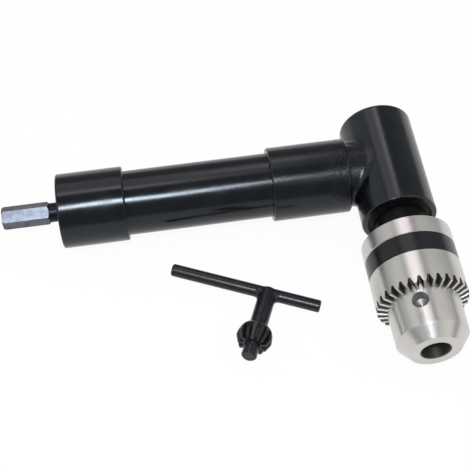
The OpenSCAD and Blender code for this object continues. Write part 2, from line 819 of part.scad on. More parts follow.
// One half of the nut that drives the jaws
module nut_half(side) {
    on_chuck(gap_bearing) difference() {
        rotate_extrude() polygon([
            [jaw_out(nut_front) + nut_gap, nut_front], [sleeve_in_r, nut_front],
            [sleeve_in_r, nut_back], [jaw_out(nut_back) + nut_gap, nut_back]
        ]);
        rotate([0, 0, side]) translate([-chuck_d / 2, -nut_split / 2, nut_front - overrun])
            cube([chuck_d, chuck_d, nut_length + 2 * overrun]);
    }
}

module split_nut_1() {
    color("#8d9094") nut_half(0);
}

module split_nut_2() {
    color("#8d9094") nut_half(180);
}

// One jaw: a slanting rod with its gripping face along the spindle and its thread on the outside
module jaw(number) {
    side_r = chuck_d / 2;
    face_half = (jaw_open - jaw_wedge) * tan(60);
    side_half = (side_r - jaw_wedge) * tan(60);
    color("#9a9da1") on_chuck(key_hole_bearing + 60 + 120 * (number - 1)) difference() {
        intersection() {
            jaw_rod(jaw_d / 2, 0);
            translate([0, 0, jaw_tip_back]) linear_extrude(chuck_length) polygon([
                [jaw_open, -face_half], [side_r, -side_half], [side_r, side_half], [jaw_open, face_half]
            ]);
        }
        rotate_extrude() for (i = [0:jaw_threads - 1])
            thread_groove(nut_front + jaw_thread_pitch * i);
    }
}

// Cut of one turn of a jaw's thread, on a cone about the spindle axis
module thread_groove(w) {
    half = jaw_thread_pitch * jaw_thread_share;
    polygon([
        [jaw_out(w) - jaw_thread_depth, w], [jaw_out(w + half) + jaw_thread_depth, w + half],
        [jaw_out(w - half) + jaw_thread_depth, w - half]
    ]);
}

module jaw_1() {
    jaw(1);
}

module jaw_2() {
    jaw(2);
}

module jaw_3() {
    jaw(3);
}

// Outline of the key's turned shank, shoulder, pinion and pilot
function key_outline() =
    let (
        face = cone_reach - pinion_front,
        tip_z = cone_reach - key_tip_z,
        front_tip_r = key_tip_r * pinion_front / key_tip_z
    )
    concat(
        [
            [0, -shank_past_bar], [shank_d / 2 - shank_end_chamfer, -shank_past_bar],
            [shank_d / 2, -shank_seat], [shank_d / 2, tip_z - pinion_shoulder]
        ],
        [
            for (i = [0:shoulder_steps])
                let (a = 90 * i / shoulder_steps)
                    [shoulder_r + (key_tip_r - shoulder_r) * sin(a), tip_z - pinion_shoulder * cos(a)]
        ],
        [
            [front_tip_r, face], [pilot_d / 2, face], [pilot_d / 2, key_length - pilot_chamfer],
            [pilot_d / 2 - pilot_chamfer, key_length], [0, key_length]
        ]
    );

module key_shank() {
    color("#26282b") on_key() difference() {
        rotate_extrude() polygon(key_outline());
        for (i = [0:key_teeth - 1])
            rotate([0, 0, 360 * i / key_teeth]) translate([0, 0, cone_reach])
                bevel_gap(key_teeth, key_pitch_r, key_cone, ring_module, key_play,
                    key_inner_share, key_outer_share);
        difference() {
            bar_rod(bar_d / 2);
            translate([0, 0, bar_d / 2 - spigot_depth]) cylinder(r = spigot_r, h = bar_d);
        }
    }
}

// Round bar across the key's own X
module bar_rod(radius) {
    translate([-bar_long_side, 0, 0]) rotate([0, 90, 0]) cylinder(r = radius, h = bar_length);
}

module key_bar() {
    color("#26282b") on_key() difference() {
        translate([-bar_long_side, 0, 0]) rotate([0, 90, 0]) rotate_extrude() polygon([
            [0, 0], [bar_d / 2 - bar_chamfer, 0], [bar_d / 2, bar_chamfer],
            [bar_d / 2, bar_length - bar_chamfer], [bar_d / 2 - bar_chamfer, bar_length],
            [0, bar_length]
        ]);
        translate([0, 0, bar_d / 2 - spigot_depth]) cylinder(r = spigot_r, h = bar_d);
    }
}

rear_collar();
main_tube();
front_sleeve();
gear_head();
head_cap();
rear_circlip();
mouth_circlip();
spindle_seal();
rear_bearing_outer();
front_bearing_outer();
top_bearing_outer();
low_bearing_outer();
drive_shaft();
shaft_spacer();
shaft_circlip();
bevel_pinion();
pinion_pin();
rear_bearing_inner();
front_bearing_inner();
rear_bearing_balls();
front_bearing_balls();
top_bearing_balls();
low_bearing_balls();
output_spindle();
bevel_gear();
gear_key();
spindle_spacer();
spindle_circlip();
top_bearing_inner();
low_bearing_inner();
chuck_body();
chuck_screw();
chuck_sleeve();
sleeve_band();
split_nut_1();
split_nut_2();
jaw_1();
jaw_2();
jaw_3();
key_shank();
key_bar();
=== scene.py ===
# %% [markdown]
# # A right angle drill attachment
#
# A black painted tube carries a drive shaft from a hexagonal shank, at its left end, to a pair of bevel
# gears inside the head across its right end. The head turns a keyed drill chuck that points at the reader,
# and the chuck's key lies beside it. All the solid shapes come from the CAD model, so this script gives
# them their finishes, adds the weld and the brazed corners, which are too free in form for the solids, and
# lights the whole as a small product on a white table.

# %% Load the solid model, which stays fixed
import json
import math

import bmesh
import bpy
from mathutils import Matrix, Vector


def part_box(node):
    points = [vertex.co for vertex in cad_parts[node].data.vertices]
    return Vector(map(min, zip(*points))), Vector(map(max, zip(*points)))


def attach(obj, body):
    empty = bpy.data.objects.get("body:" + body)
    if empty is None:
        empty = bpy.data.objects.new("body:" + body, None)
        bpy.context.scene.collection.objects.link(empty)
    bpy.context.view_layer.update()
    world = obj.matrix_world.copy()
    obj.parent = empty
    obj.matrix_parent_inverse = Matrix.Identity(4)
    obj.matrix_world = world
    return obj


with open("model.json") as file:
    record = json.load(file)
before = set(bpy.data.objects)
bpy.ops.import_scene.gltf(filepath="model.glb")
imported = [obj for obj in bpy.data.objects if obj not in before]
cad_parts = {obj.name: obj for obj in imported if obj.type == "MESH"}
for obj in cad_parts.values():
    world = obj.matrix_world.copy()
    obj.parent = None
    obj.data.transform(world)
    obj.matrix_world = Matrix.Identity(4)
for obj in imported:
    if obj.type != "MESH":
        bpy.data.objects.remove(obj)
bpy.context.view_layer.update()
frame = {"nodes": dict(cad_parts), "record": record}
MM = 0.001

# %% [markdown]
# ## The camera
#
# The photograph was taken from the front and above, from less than half a metre away. The camera's place
# and direction were worked out from the outlines of the tube and the chuck, whose sizes are known. A camera
# can be turned with angles, but three directions are easier to check against such a working, so they go
# straight into its matrix.

# %% Place the camera
camera_place = Vector((63.60, -274.36, 364.02)) * MM
camera_right = Vector((0.98985, -0.14019, -0.02322)).normalized()
camera_forward = Vector((0.06121, 0.56811, -0.82067)).normalized()
camera_up = camera_right.cross(camera_forward).normalized()
photo_width = 470
focal_pixels = 1125


def placed(place, x_axis, y_axis, z_axis):
    """The matrix of a thing at a place, whose own axes point along three directions."""
    axes = Matrix([[x_axis[i], y_axis[i], z_axis[i]] for i in range(3)])
    return Matrix.Translation(place) @ axes.to_4x4()


camera = bpy.data.objects.new("camera", bpy.data.cameras.new("camera"))
bpy.context.scene.collection.objects.link(camera)
camera.matrix_world = placed(camera_place, camera_right, camera_up, -camera_forward)
camera.data.sensor_width = 36
camera.data.lens = focal_pixels / photo_width * camera.data.sensor_width
camera.data.clip_start, camera.data.clip_end = 0.01, 20
bpy.context.scene.camera = camera
bpy.context.scene.view_settings.view_transform = "Standard"
tilt = math.degrees(math.asin(-camera_forward.z))
print("lens", round(camera.data.lens, 1), "mm, looking down by", round(tilt, 1), "degrees")

# %% [markdown]
# ## Helpers for finishes
#
# Every finish is a small tree of shader nodes. Written out one by one, the nodes take many lines, so one
# helper adds a node, sets its fields, and links or fills its inputs by name. All the patterns read Object
# coordinates. The pieces lie at the origin with their place in their meshes, so these are places on the
# real tool, in metres, and a pattern runs on from one piece to the next.

# %% Helper that adds a node to a tree
def add_node(tree, kind, inputs=None, **fields):
    """A new node with its fields set, its inputs linked to other nodes or filled with values."""
    made = tree.nodes.new(kind)
    for field, value in fields.items():
        setattr(made, field, value)
    for name, value in (inputs or {}).items():
        if isinstance(value, bpy.types.NodeSocket):
            tree.links.new(value, made.inputs[name])
        else:
            made.inputs[name].default_value = value
    return made


def maths(tree, operation, first, second=0.0, third=0.0):
    """One sum on numbers or on other sums."""
    made = add_node(tree, "ShaderNodeMath", {0: first, 1: second, 2: third}, operation=operation)
    return made.outputs[0]


print("node helpers ready")


# %% Helpers that start a finish and fill its shader
def new_finish(name):
    """An empty finish: the material, its tree, the Object coordinates and the shader."""
    finish = bpy.data.materials.new(name)
    finish.use_nodes = True
    tree = finish.node_tree
    tree.nodes.clear()
    place = add_node(tree, "ShaderNodeTexCoord").outputs["Object"]
    shader = add_node(tree, "ShaderNodeBsdfPrincipled")
    add_node(tree, "ShaderNodeOutputMaterial", {"Surface": shader.outputs[0]})
    return finish, tree, place, shader


def fill(tree, shader, **sockets):
    """Links nodes to the shader, and writes plain numbers on its own sockets."""
    names = {
        "colour": "Base Color", "roughness": "Roughness", "normal": "Normal", "metal": "Metallic",
        "ior": "IOR", "tint": "Specular Tint", "tangent": "Tangent",
        "stretch": "Anisotropic", "stretch_turn": "Anisotropic Rotation",
    }
    for key, value in sockets.items():
        if isinstance(value, bpy.types.NodeSocket):
            tree.links.new(value, shader.inputs[names[key]])
        else:
            shader.inputs[names[key]].default_value = value


print("shader helpers ready")


# %% Helpers for noise and for smooth steps
def grain(tree, place, size, detail=2.0, roughness=0.5):
    """Soft noise whose lumps are about size metres across."""
    noise = add_node(
        tree, "ShaderNodeTexNoise",
        {"Vector": place, "Scale": 1 / size, "Detail": detail, "Roughness": roughness},
    )
    return noise.outputs["Fac"]


def rise(tree, value, start, end, low=0.0, high=1.0):
    """Goes smoothly from low to high while the value goes from start to end."""
    ramp = add_node(
        tree, "ShaderNodeMapRange",
        {"Value": value, "From Min": start, "From Max": end, "To Min": low, "To Max": high},
        interpolation_type="SMOOTHSTEP",
    )
    return ramp.outputs["Result"]


def between(tree, noise, low, high):
    """Spreads noise, which keeps near one half, over numbers from low to high."""
    return rise(tree, noise, 0.3, 0.7, low, high)


print("noise helpers ready")


# %% Helpers for colours and bumps
def tone(tree, share, first, second):
    """Mixes two colours, each written out or made by a node, by a share."""
    mix = add_node(tree, "ShaderNodeMix", data_type="RGBA")
    for name, value in (("Factor", share), ("A", first), ("B", second)):
        if isinstance(value, bpy.types.NodeSocket):
            tree.links.new(value, mix.inputs[name])
        else:
            mix.inputs[name].default_value = (*value, 1)
    return mix.outputs["Result"]


def relief(tree, height, depth, under=None):
    """Bumps of a given depth in metres, on top of other bumps."""
    inputs = {"Height": height, "Distance": depth, "Strength": 1.0}
    if under is not None:
        inputs["Normal"] = under
    return add_node(tree, "ShaderNodeBump", inputs).outputs["Normal"]


print("colour and bump helpers ready")

# %% [markdown]
# ## Black paint on the housing
#
# The tube, collar, sleeve and head are sprayed with a glossy black enamel. Sprayed paint never dries flat:
# it keeps a faint skin like orange peel, with lumps about a millimetre across and a hundredth of a
# millimetre deep, and a finer grain of dust. Both break up the long reflection of the lamp, and they are
# bumps here, because nothing of the outline changes. The front sleeve was sprayed over rough turned steel,
# so its skin is coarser and it mirrors the lamp less sharply. Near the head the paint is crinkled and
# catches the light in small sparks. The enamel mirrors everything slightly bluer than it is, and that faint
# tint is set on the shader's own socket.

# %% Sizes and colours of the paint
paint_dark, paint_light = (0.0028, 0.0034, 0.0044), (0.0052, 0.0058, 0.0068)
mirror_tint = (0.88, 0.95, 1.0, 1)
dust_size, cloud_size, crinkle_size = 0.25 * MM, 9 * MM, 1.7 * MM
crinkle_start, crinkle_end, crinkle_fade = 127 * MM, 150 * MM, 6 * MM
gloss_spread = 0.06
print("crinkled paint from x =", round(crinkle_start / MM), "to", round(crinkle_end / MM), "mm")


# %% Black enamel
def black_enamel(name, peel_depth, peel_size, dust_depth, gloss, crinkle_depth=0.0, ior=1.42):
    """Paint with orange peel and dust, and with crinkles near the head where crinkle_depth is given."""
    finish, tree, place, shader = new_finish(name)
    peel = grain(tree, place, peel_size, 1.0)
    dust = grain(tree, place, dust_size, 2.0)
    cloud = grain(tree, place, cloud_size, 3.0)
    skin = relief(tree, dust, dust_depth, relief(tree, peel, peel_depth))
    if crinkle_depth:
        x = add_node(tree, "ShaderNodeSeparateXYZ", {"Vector": place}).outputs["X"]
        starts = rise(tree, x, crinkle_start, crinkle_start + crinkle_fade)
        ends = rise(tree, x, crinkle_end - crinkle_fade, crinkle_end, 1.0, 0.0)
        near = maths(tree, "MULTIPLY", starts, ends)
        folds = maths(tree, "SUBTRACT", grain(tree, place, crinkle_size, 2.0, 0.6), 0.5)
        folds = maths(tree, "ABSOLUTE", folds)
        skin = relief(tree, maths(tree, "MULTIPLY", folds, near), crinkle_depth, skin)
    share = between(tree, cloud, 0, 1)
    fill(
        tree, shader, normal=skin, ior=ior, tint=mirror_tint,
        colour=tone(tree, share, paint_dark, paint_light),
        roughness=between(tree, cloud, gloss, gloss + gloss_spread),
    )
    return finish


enamel = black_enamel("black_enamel", 0.009 * MM, 1.1 * MM, 0.0042 * MM, 0.15)
head_enamel = black_enamel("head_enamel", 0.006 * MM, 1.2 * MM, 0.0034 * MM, 0.15, 0.13 * MM, 1.5)
coarse_enamel = black_enamel("coarse_enamel", 0.034 * MM, 0.8 * MM, 0.013 * MM, 0.15, 0.18 * MM)
weld_enamel = black_enamel("weld_enamel", 0.02 * MM, 1.1 * MM, 0.006 * MM, 0.2)
print("enamels:", enamel.name, head_enamel.name, coarse_enamel.name, weld_enamel.name)

# %% [markdown]
# ## Turned steel on the chuck
#
# A lathe leaves a fine spiral on the chuck, too narrow to see line by line. It scatters light only across
# the grooves, never along them, and that draws every reflection out into a long soft streak down the chuck.
# A principled shader does this with its Anisotropic number and a tangent, the direction that the scatter is
# measured from. The tangent here runs round the chuck's axis, worked out from where each point lies. In the
# holes and between the teeth the steel gets a darker, rougher finish, and its darker colour is painted
# shade.

# %% Directions round the chuck's axis
spindle_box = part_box("output_spindle")
spindle_x = (spindle_box[0].x + spindle_box[1].x) / 2


def lathe_place(tree, place):
    """Distance from the chuck's axis, place along it, and the direction round it."""
    parts = add_node(tree, "ShaderNodeSeparateXYZ", {"Vector": place})
    across = maths(tree, "SUBTRACT", parts.outputs["X"], spindle_x)
    out = add_node(tree, "ShaderNodeCombineXYZ", {"X": across, "Z": parts.outputs["Z"]})
    length = add_node(tree, "ShaderNodeVectorMath", {0: out.outputs[0]}, operation="LENGTH")
    back = maths(tree, "MULTIPLY", across, -1.0)
    turned = add_node(tree, "ShaderNodeCombineXYZ", {"X": parts.outputs["Z"], "Z": back})
    world = add_node(
        tree, "ShaderNodeVectorTransform", {"Vector": turned.outputs[0]},
        vector_type="VECTOR", convert_from="OBJECT", convert_to="WORLD",
    )
    return length.outputs["Value"], parts.outputs["Y"], world.outputs[0]


print("chuck axis at x =", round(spindle_x / MM, 3), "mm")


# %% Sizes and colours of turned steel
lathe_size, lathe_depth = 0.2 * MM, 0.00013 * MM
wander_size, stain_size = 1.6 * MM, 5 * MM
streak, streak_turn = 0.7, 0.25
# the colour of the painted shade in the holes and tooth gaps, and the roughness added there
painted_shade_colour, shaded_gap_roughness = (0.10, 0.094, 0.087), 0.3
print("lathe marks every", round(lathe_size / MM, 2), "mm or so")


# %% Turned steel
def turned_steel(name, dark, light, low, high, gaps=None):
    """Steel with lathe marks round the chuck's axis. Gaps may paint shade into it by radius and by place.
    """
    finish, tree, place, shader = new_finish(name)
    radius, along, tangent = lathe_place(tree, place)
    rings = add_node(tree, "ShaderNodeCombineXYZ", {"X": radius, "Y": along}).outputs[0]
    fine = grain(tree, rings, lathe_size, 3.0, 0.6)
    wide = grain(tree, rings, wander_size, 2.0)
    stain = grain(tree, place, stain_size, 3.0)
    marks = maths(tree, "ADD", between(tree, fine, 0, 0.5), between(tree, stain, 0, 0.5))
    colour = tone(tree, marks, dark, light)
    roughness = between(tree, wide, low, high)
    # painted shade: where the gaps mask is high, the colour turns to the dark shade colour and the
    # roughness rises
    if gaps:
        share = gaps(tree, radius, along)
        colour = tone(tree, share, colour, painted_shade_colour)
        roughness = maths(tree, "MULTIPLY_ADD", share, shaded_gap_roughness, roughness)
    fill(
        tree, shader, metal=1.0, colour=colour, roughness=roughness, tangent=tangent,
        stretch=streak, stretch_turn=streak_turn, normal=relief(tree, fine, lathe_depth),
    )
    return finish


print("turned steel ready")

# %% [markdown]
# Where are the gaps and holes that get painted shade? The crests of the sleeve's teeth lie on one shallow
# cone, so its finish is painted darker with the depth below that cone, and stops short of the sleeve's own
# outside.
# On the body of the chuck, the bore is known by its radius, and the key holes and the channels of the jaws
# by how deep they reach under the skin of the nose, behind its cone.

# %% Sizes that find the gaps and holes
sleeve_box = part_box("chuck_sleeve")
chuck_radius = (sleeve_box[1].x - sleeve_box[0].x) / 2
lip_radius = 14.18 * MM
crest_slope = 0.2878
crest_skin, gap_depth = 0.05 * MM, 0.3 * MM
rim_inner, rim_outer = chuck_radius - 0.06 * MM, chuck_radius - 0.02 * MM
nose_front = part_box("chuck_body")[0].y
cone_back, cone_fade = nose_front + 4.9 * MM, 0.3 * MM
# the last of these numbers is the share of painted shade in the key holes and the jaws' channels
hole_radius, skin_radius, hole_shade = 13.1 * MM, 13.5 * MM, 0.5
bore_radius, bore_fade = 5.8 * MM, 0.3 * MM
print("sleeve front at y =", round(sleeve_box[0].y / MM, 2), "mm")
print("sleeve radius", round(chuck_radius / MM, 2), "mm")


# %% Steels of the chuck and of the parts inside
def tooth_gaps(tree, radius, along):
    """Paints shade into what lies below the cone of the teeth's crests, inside the sleeve's rim."""
    crest_start = sleeve_box[0].y - crest_slope * lip_radius
    crest = maths(tree, "MULTIPLY_ADD", radius, crest_slope, crest_start)
    deep = rise(tree, maths(tree, "SUBTRACT", along, crest), crest_skin, gap_depth)
    inside = rise(tree, radius, rim_inner, rim_outer, 1.0, 0.0)
    return maths(tree, "MULTIPLY", deep, inside)


def shaded_holes(tree, radius, along):
    """Paints shade into the bore, and into what lies deeper than the nose's skin behind its cone."""
    under_skin = rise(tree, radius, hole_radius, skin_radius, hole_shade, 0.0)
    behind_cone = rise(tree, along, cone_back, cone_back + cone_fade)
    bore = rise(tree, radius, bore_radius, bore_radius + bore_fade, 1.0, 0.0)
    return maths(tree, "MAXIMUM", maths(tree, "MULTIPLY", under_skin, behind_cone), bore)


bright, brightest = (0.575, 0.557, 0.527), (0.62, 0.602, 0.572)
# painted shade: the chuck's body is darkened in its bore and holes, the sleeve between its teeth
chuck_steel = turned_steel("turned_steel", bright, brightest, 0.30, 0.36, shaded_holes)
toothed_steel = turned_steel("toothed_steel", bright, brightest, 0.30, 0.36, tooth_gaps)
machined = turned_steel("machined_steel", (0.36, 0.37, 0.38), (0.46, 0.47, 0.48), 0.28, 0.38)
ground = turned_steel("ground_steel", (0.52, 0.53, 0.55), (0.60, 0.61, 0.63), 0.14, 0.22)
print("turned steels:", chuck_steel.name, toothed_steel.name, machined.name, ground.name)

# %% [markdown]
# ## Dark metals
#
# The shank is bare dark steel with a bluish grain, nearly black behind its hexagon. The chuck's key
# is blackened by hot oxide, and the spindle and the band on the sleeve are glossy black. They share one
# recipe, a base colour, a roughness that wanders and fine bumps, with numbers of their own.

# %% Dark finish
# the near black colour of the shank behind its hexagon, and the length over which it fades in
near_black, near_black_fade = (0.02, 0.021, 0.025), 0.6 * MM
tarnish_size = 3 * MM


def dark_finish(name, dark, light, metal, low, high, grain_size, grain_depth, ior=1.5, near_black_from=None):
    """Two dark colours, a roughness from low to high and fine bumps, nearly black past the x given last."""
    finish, tree, place, shader = new_finish(name)
    cloud = grain(tree, place, tarnish_size, 4.0, 0.6)
    fine = grain(tree, place, grain_size, 3.0, 0.6)
    colour = tone(tree, between(tree, cloud, 0, 1), dark, light)
    if near_black_from is not None:
        x = add_node(tree, "ShaderNodeSeparateXYZ", {"Vector": place}).outputs["X"]
        colour = tone(tree, rise(tree, x, near_black_from, near_black_from + near_black_fade), colour, near_black)
    fill(
        tree, shader, metal=metal, ior=ior, colour=colour,
        roughness=between(tree, fine, low, high),
        normal=relief(tree, fine, grain_depth),
    )
    return finish


print("dark finish ready")

# %% Dark metals and rubber
hexagon_end = 18.3 * MM
shank_steel = dark_finish(
    "shank_steel", (0.088, 0.093, 0.11), (0.135, 0.142, 0.166), 1.0, 0.32, 0.40,
    0.5 * MM, 0.004 * MM, near_black_from=hexagon_end,
)
clip_steel = dark_finish(
    "clip_steel", (0.05, 0.052, 0.056), (0.09, 0.092, 0.096), 1.0, 0.35, 0.5, 0.4 * MM, 0.003 * MM,
)
key_oxide = dark_finish(
    "black_oxide", (0.004, 0.0048, 0.006), (0.009, 0.0104, 0.0125), 0.0, 0.24, 0.32,
    0.35 * MM, 0.0018 * MM, 1.42,
)
spindle_black = dark_finish(
    "spindle_black", (0.002, 0.002, 0.0022), (0.004, 0.004, 0.0045), 0.0, 0.24, 0.34,
    0.5 * MM, 0.002 * MM, 1.2,
)
band_black = dark_finish(
    "band_black", (0.005, 0.0055, 0.006), (0.009, 0.0095, 0.010), 0.0, 0.2, 0.28,
    0.4 * MM, 0.002 * MM, 1.42,
)
seal_rubber = dark_finish(
    "seal_rubber", (0.003, 0.003, 0.003), (0.007, 0.007, 0.007), 0.0, 0.5, 0.65,
    0.5 * MM, 0.006 * MM, 1.3,
)
print("dark finishes ready")

# %% [markdown]
# ## Dress the solid pieces
#
# Each solid keeps its mesh and gets a finish in its material slot. The model's record says which kind of
# finish each piece takes, and a few pieces have one of their own.

# %% Give every solid piece its finish
finishes = {
    "black_paint": enamel,
    "dark_steel": clip_steel,
    "machined_steel": machined,
    "bearing_steel": ground,
    "seal_rubber": seal_rubber,
    "chuck_steel": chuck_steel,
    "black_band": band_black,
    "black_oxide": key_oxide,
}
own_finish = {
    "front_sleeve": coarse_enamel,
    "gear_head": head_enamel,
    "head_cap": head_enamel,
    "drive_shaft": shank_steel,
    "output_spindle": spindle_black,
    "chuck_sleeve": toothed_steel,
}


def dress(piece, finish):
    """Puts one finish on the whole piece."""
    piece.data.materials.clear()
    piece.data.materials.append(finish)


for part in frame["record"]["subparts"]:
    usual = finishes[part["material_slot"]]
    dress(frame["nodes"][part["node"]], own_finish.get(part["node"], usual))

# %% [markdown]
# ## The weld round the neck
#
# The neck is welded to the head before painting, so a soft rippled fillet shows under the paint where the
# two cylinders meet. It follows a rule, so Geometry Nodes can draw it: a flat grid is wrapped round the
# neck. Its first rows lie side by side on a short curve that runs from the neck across the corner to the
# head, and swells and shrinks with the ripples. Its last two rows fold back inside the walls, where nothing
# can see them, and close the shape.

# %% Helper for sums on places and directions in a node tree
def vectors(tree, operation, first, second=None, scale=None):
    """One sum on vectors, whose result is a number only for a dot product."""
    inputs = {0: first}
    if second is not None:
        inputs[1] = second
    if scale is not None:
        inputs["Scale"] = scale
    made = add_node(tree, "ShaderNodeVectorMath", inputs, operation=operation)
    return made.outputs["Value" if operation == "DOT_PRODUCT" else "Vector"]


def vector(tree, x, y, z):
    """A place or direction put together from three numbers."""
    return add_node(tree, "ShaderNodeCombineXYZ", {"X": x, "Y": y, "Z": z}).outputs[0]


print("vector helpers ready")


# %% Where the neck meets the head
def meeting_line(tree, given, turn):
    """The meeting place at a turn round the pipe, and the directions out of pipe, head and corner."""
    pipe_out = vector(tree, 0.0, maths(tree, "COSINE", turn), maths(tree, "SINE", turn))
    y = maths(tree, "MULTIPLY", maths(tree, "COSINE", turn), given["Pipe Radius"])
    z = maths(tree, "MULTIPLY", maths(tree, "SINE", turn), given["Pipe Radius"])
    head_square = maths(tree, "MULTIPLY", given["Head Radius"], given["Head Radius"])
    depth = maths(tree, "SQRT", maths(tree, "SUBTRACT", head_square, maths(tree, "MULTIPLY", z, z)))
    x = maths(tree, "MULTIPLY", depth, -1.0)
    head_out = vectors(tree, "NORMALIZE", vector(tree, x, 0.0, z))
    corner_out = vectors(tree, "NORMALIZE", vectors(tree, "ADD", pipe_out, head_out))
    return vector(tree, x, y, z), pipe_out, head_out, corner_out


print("meeting line ready")


# %% The two ends of the weld's curve
def curve_ends(tree, given, meeting, pipe_out, head_out):
    """The curve's start on the pipe, and its end on the head's round skin."""
    back = maths(tree, "MULTIPLY", given["Spread"], -1.0)
    start = vectors(tree, "ADD", meeting, vector(tree, back, 0.0, 0.0))
    into_head = vectors(tree, "SCALE", head_out, scale=vectors(tree, "DOT_PRODUCT", pipe_out, head_out))
    along_head = vectors(tree, "NORMALIZE", vectors(tree, "SUBTRACT", pipe_out, into_head))
    end = vectors(tree, "ADD", meeting, vectors(tree, "SCALE", along_head, scale=given["Spread"]))
    parts = add_node(tree, "ShaderNodeSeparateXYZ", {"Vector": end}).outputs
    flat = vectors(tree, "NORMALIZE", vector(tree, parts["X"], 0.0, parts["Z"]))
    flat = vectors(tree, "SCALE", flat, scale=given["Head Radius"])
    end = vectors(tree, "ADD", flat, vector(tree, 0.0, parts["Y"], 0.0))
    return start, end


print("ends of the curve ready")

# %% The ripples, and the curve that they bend
uneven_size = 3 * MM


def rippled_bend(tree, given, meeting, corner_out, turn):
    """The place that the curve bends towards, which the ripples push out of the corner and back."""
    wave = maths(tree, "SINE", maths(tree, "MULTIPLY", turn, given["Ripples"]))
    uneven = maths(tree, "SUBTRACT", grain(tree, meeting, uneven_size), 0.5)
    wave = maths(tree, "MULTIPLY_ADD", uneven, given["Unevenness"], wave)
    swell = maths(tree, "MULTIPLY", wave, given["Ripple Height"])
    return vectors(tree, "ADD", meeting, vectors(tree, "SCALE", corner_out, scale=swell))


def on_curve(tree, start, bend, end, t):
    """The place at a share t of the way from start to end, drawn towards the bend."""
    left = maths(tree, "SUBTRACT", 1.0, t)
    place = vectors(tree, "SCALE", start, scale=maths(tree, "MULTIPLY", left, left))
    twice = maths(tree, "MULTIPLY", maths(tree, "MULTIPLY", t, left), 2.0)
    place = vectors(tree, "ADD", place, vectors(tree, "SCALE", bend, scale=twice))
    return vectors(tree, "ADD", place, vectors(tree, "SCALE", end, scale=maths(tree, "MULTIPLY", t, t)))


print("ripples vary over about", round(uneven_size / MM), "mm")


# %% Inputs of the weld's tree, and the flat grid that it bends
def named_inputs(tree, kinds):
    """Gives the tree its inputs by name, and returns the identifier of each."""
    ids = {}
    for name, kind in kinds.items():
        socket = tree.interface.new_socket(name, in_out="INPUT", socket_type="NodeSocket" + kind)
        ids[name] = socket.identifier
    return ids


def turns_and_rows(tree, around, rows):
    """A flat grid, with the turn round the pipe and the number of the row at each of its points."""
    grid = add_node(
        tree, "GeometryNodeMeshGrid",
        {"Size X": 1.0, "Size Y": 1.0, "Vertices X": around, "Vertices Y": rows},
    ).outputs["Mesh"]
    here = add_node(tree, "GeometryNodeInputPosition").outputs["Position"]
    parts = add_node(tree, "ShaderNodeSeparateXYZ", {"Vector": here}).outputs
    turn = maths(tree, "MULTIPLY", maths(tree, "ADD", parts["X"], 0.5), 2 * math.pi)
    row = maths(tree, "MULTIPLY", maths(tree, "ADD", parts["Y"], 0.5), rows - 1.0)
    return grid, turn, row


print("grid helper ready")


# %% The places of the weld's rows, and the tidy-up at its end
def weld_place(tree, given, turn, row, curve_steps):
    """Where each point goes: rows on the curve, then one inside the corner, then the first again."""
    meeting, pipe_out, head_out, corner_out = meeting_line(tree, given, turn)
    start, end = curve_ends(tree, given, meeting, pipe_out, head_out)
    bend = rippled_bend(tree, given, meeting, corner_out, turn)
    shown = maths(tree, "LESS_THAN", row, curve_steps + 0.5)
    inside = maths(tree, "COMPARE", row, curve_steps + 1.0, 0.25)
    t = maths(tree, "MULTIPLY", maths(tree, "DIVIDE", row, float(curve_steps)), shown)
    hidden = vectors(tree, "SCALE", corner_out, scale=given["Sunk"])
    hidden = vectors(tree, "SUBTRACT", meeting, hidden)
    # a mix of vectors keeps its own two inputs at 4 and 5, and its output at 1
    choice = add_node(tree, "ShaderNodeMix", {"Factor": inside}, data_type="VECTOR")
    tree.links.new(on_curve(tree, start, bend, end, t), choice.inputs[4])
    tree.links.new(hidden, choice.inputs[5])
    return vectors(tree, "ADD", choice.outputs[1], given["Head Place"])


def closed_and_painted(tree, shape, paint):
    """Joins the points that lie on each other, and ends in Realize Instances and Set Material."""
    joined = add_node(tree, "GeometryNodeMergeByDistance", {"Geometry": shape, "Distance": 0.001 * MM})
    real = add_node(tree, "GeometryNodeRealizeInstances", {"Geometry": joined.outputs["Geometry"]})
    painted = add_node(
        tree, "GeometryNodeSetMaterial",
        {"Geometry": real.outputs["Geometry"], "Material": paint},
    )
    return painted.outputs["Geometry"]


print("places of the rows ready")


# %% The weld's tree, for a pipe along X that meets a head along Y
def weld_tree(curve_steps=7, steps_per_ripple=6):
    """A tree of nodes that bends a flat grid into the rippled weld, and the identifiers of its inputs."""
    tree = bpy.data.node_groups.new("rippled_fillet", "GeometryNodeTree")
    tree.interface.new_socket("Start", in_out="INPUT", socket_type="NodeSocketGeometry")
    ids = named_inputs(tree, {
        "Pipe Radius": "Float", "Head Radius": "Float", "Head Place": "Vector",
        "Spread": "Float", "Ripples": "Int", "Ripple Height": "Float", "Unevenness": "Float",
        "Sunk": "Float", "Paint": "Material",
    })
    tree.interface.new_socket("Weld", in_out="OUTPUT", socket_type="NodeSocketGeometry")
    given = tree.nodes.new("NodeGroupInput").outputs
    around = maths(tree, "MULTIPLY_ADD", given["Ripples"], float(steps_per_ripple), 1.0)
    grid, turn, row = turns_and_rows(tree, around, curve_steps + 3)
    place = weld_place(tree, given, turn, row, curve_steps)
    bent = add_node(tree, "GeometryNodeSetPosition", {"Geometry": grid, "Position": place})
    weld = closed_and_painted(tree, bent.outputs["Geometry"], given["Paint"])
    add_node(tree, "NodeGroupOutput", {"Weld": weld})
    return tree, ids


weld_nodes, weld_ids = weld_tree()
print("weld inputs:", ", ".join(weld_ids))


# %% Helpers that run a node tree and keep its result as a plain mesh
fold_angle = math.radians(60)


def run_nodes(piece, tree, ids, values):
    """Runs a tree on a piece with the given inputs, and keeps what it draws as the piece's mesh."""
    modifier = piece.modifiers.new(tree.name, "NODES")
    modifier.node_group = tree
    for name, value in values.items():
        modifier[ids[name]] = value
    evaluated = piece.evaluated_get(bpy.context.evaluated_depsgraph_get())
    shape = bpy.data.meshes.new_from_object(evaluated)
    piece.modifiers.clear()
    piece.data = shape
    shape.name = piece.name


